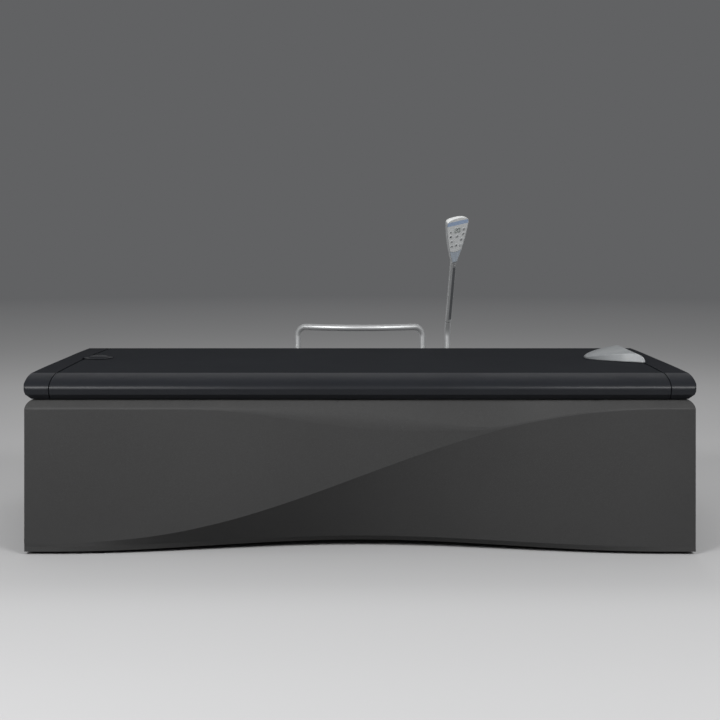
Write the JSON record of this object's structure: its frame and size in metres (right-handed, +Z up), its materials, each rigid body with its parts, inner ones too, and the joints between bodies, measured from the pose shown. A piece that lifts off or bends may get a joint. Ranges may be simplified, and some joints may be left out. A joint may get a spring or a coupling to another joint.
{
  "type": "hydro massage lounger",
  "caption": "Dry water-massage bed: long base with a sculpted front panel, rubber-topped lid over a water tub with a travelling jet carriage, grab handle and a swivelling control head.",
  "frame": {"origin": "on the floor, under the middle of the whole outline", "axes": "+X along the bed to the head end with the silver pod, -Y to the sculpted front, +Z up"},
  "size_m": [2.22, 1.119, 1.1286],
  "materials": {
    "panel_paint": "anthracite paint with a fine metallic speckle",
    "lid_skin": "black moulded skin, satin, fine grain",
    "mat_rubber": "black rubber sheet, fine grain",
    "pod_silver": "silver lacquer",
    "cap_black": "black moulded plastic",
    "tube_satin": "satin anodised",
    "strip_grey": "grey plastic strip",
    "head_silver": "silver lacquer",
    "head_white": "white moulded plastic",
    "keypad_print": "printed membrane foil",
    "display_glass": "dark tinted window",
    "board_green": "circuit board",
    "frame_paint": "black powder coat",
    "tray_plastic": "black sheet plastic",
    "tub_plastic": "moulded tub plastic",
    "black_rubber": "black rubber",
    "foot_plastic": "black foot pad",
    "zinc_steel": "zinc plated",
    "socket_black": "black coated casting",
    "ring_dark": "dark bearing plastic",
    "carriage_plastic": "white engineering plastic",
    "pipe_plastic": "grey pipe plastic",
    "heater_steel": "brushed stainless",
    "motor_paint": "grey painted casting",
    "box_grey": "grey case plastic"
  },
  "bodies": {
    "lounger": {"base_frame": "frame_paint", "base_tray": "tray_plastic", "control_box": "box_grey", "control_box_lid": "box_grey", "drive_belt": "black_rubber", "feed_hose": "black_rubber", "filler_neck": "tub_plastic", "flow_heater": "heater_steel", "foot_end_cap": "lid_skin", "foot_end_panel": "panel_paint", "foot_locknuts": "zinc_steel", "foot_pads": "foot_plastic", "foot_spindles": "zinc_steel", "front_edge_rail": "lid_skin", "front_panel": "panel_paint", "gear_motor": "motor_paint", "grab_handle": "tube_satin", "guide_rails": "zinc_steel", "handle_sockets": "socket_black", "head_end_cap": "lid_skin", "head_end_panel": "panel_paint", "head_pod": "pod_silver", "hose_elbow": "carriage_plastic", "idler_axle": "zinc_steel", "lid_screws": "zinc_steel", "lying_mat": "mat_rubber", "mains_inlet": "cap_black", "panel_brackets": "zinc_steel", "pod_gasket": "black_rubber", "pod_screws": "zinc_steel", "pressure_pipe": "pipe_plastic", "pump_motor": "motor_paint", "pump_volute": "pipe_plastic", "rail_brackets": "carriage_plastic", "rear_edge_rail": "lid_skin", "rear_panel": "panel_paint", "shaft_seal": "black_rubber", "socket_bolts": "zinc_steel", "stem_post": "tube_satin", "stem_socket": "socket_black", "suction_pipe": "pipe_plastic", "swivel_bush": "ring_dark", "water_tub": "tub_plastic"},
    "control_arm": {"stem_arm": "tube_satin", "arm_strip": "strip_grey", "head_shell": "head_silver", "head_cap": "head_white", "keypad_foil": "keypad_print", "display_window": "display_glass", "circuit_board": "board_green"},
    "filler_lid": {"filler_cap": "cap_black", "cap_seal": "black_rubber"},
    "carriage": {"jet_carriage": "carriage_plastic", "carriage_bushes": "ring_dark"},
    "front_rotor": {"front_jet_rotor": "carriage_plastic"},
    "rear_rotor": {"rear_jet_rotor": "carriage_plastic"},
    "belt_drive_pulley": {"drive_pulley": "carriage_plastic"},
    "belt_idler_pulley": {"idler_pulley": "carriage_plastic"},
    "impeller": {"pump_impeller": "carriage_plastic"}
  },
  "joints": [
    {"name": "control_swivel", "type": "hinge", "parent": "lounger", "child": "control_arm", "pos_m": [0.36802, 0.5183, 0.691], "axis": [0.0411, -0.4521, 0.891], "range_deg": [-120, 60]},
    {"name": "filler_cap_turn", "type": "hinge", "parent": "lounger", "child": "filler_lid", "pos_m": [-0.977, -0.01947, 0.5945], "axis": [0, 0, 1], "range_deg": [0, 90]},
    {"name": "carriage_slide", "type": "slide", "parent": "lounger", "child": "carriage", "axis": [1, 0, 0], "range_m": [0, 1.2], "deforming": ["feed_hose"]},
    {"name": "front_jet_spin", "type": "hinge", "parent": "carriage", "child": "front_rotor", "pos_m": [-0.78, -0.17947, 0.524], "axis": [0, 0, 1], "continuous": true},
    {"name": "rear_jet_spin", "type": "hinge", "parent": "carriage", "child": "rear_rotor", "pos_m": [-0.78, 0.14053, 0.524], "axis": [0, 0, 1], "continuous": true},
    {"name": "drive_pulley_spin", "type": "hinge", "parent": "lounger", "child": "belt_drive_pulley", "pos_m": [0.73, -0.01947, 0.446], "axis": [0, 0, 1], "range_deg": [0, 2750.2]},
    {"name": "idler_pulley_spin", "type": "hinge", "parent": "lounger", "child": "belt_idler_pulley", "pos_m": [-0.925, -0.01947, 0.446], "axis": [0, 0, 1], "range_deg": [0, 2750.2]},
    {"name": "pump_spin", "type": "hinge", "parent": "lounger", "child": "impeller", "pos_m": [-0.27, -0.31148, 0.19], "axis": [1, 0, 0], "continuous": true}
  ],
  "couplings": [
    {"joint": "drive_pulley_spin", "follows": "carriage_slide", "rad_per_m": 40},
    {"joint": "idler_pulley_spin", "follows": "carriage_slide", "rad_per_m": 40}
  ]
}
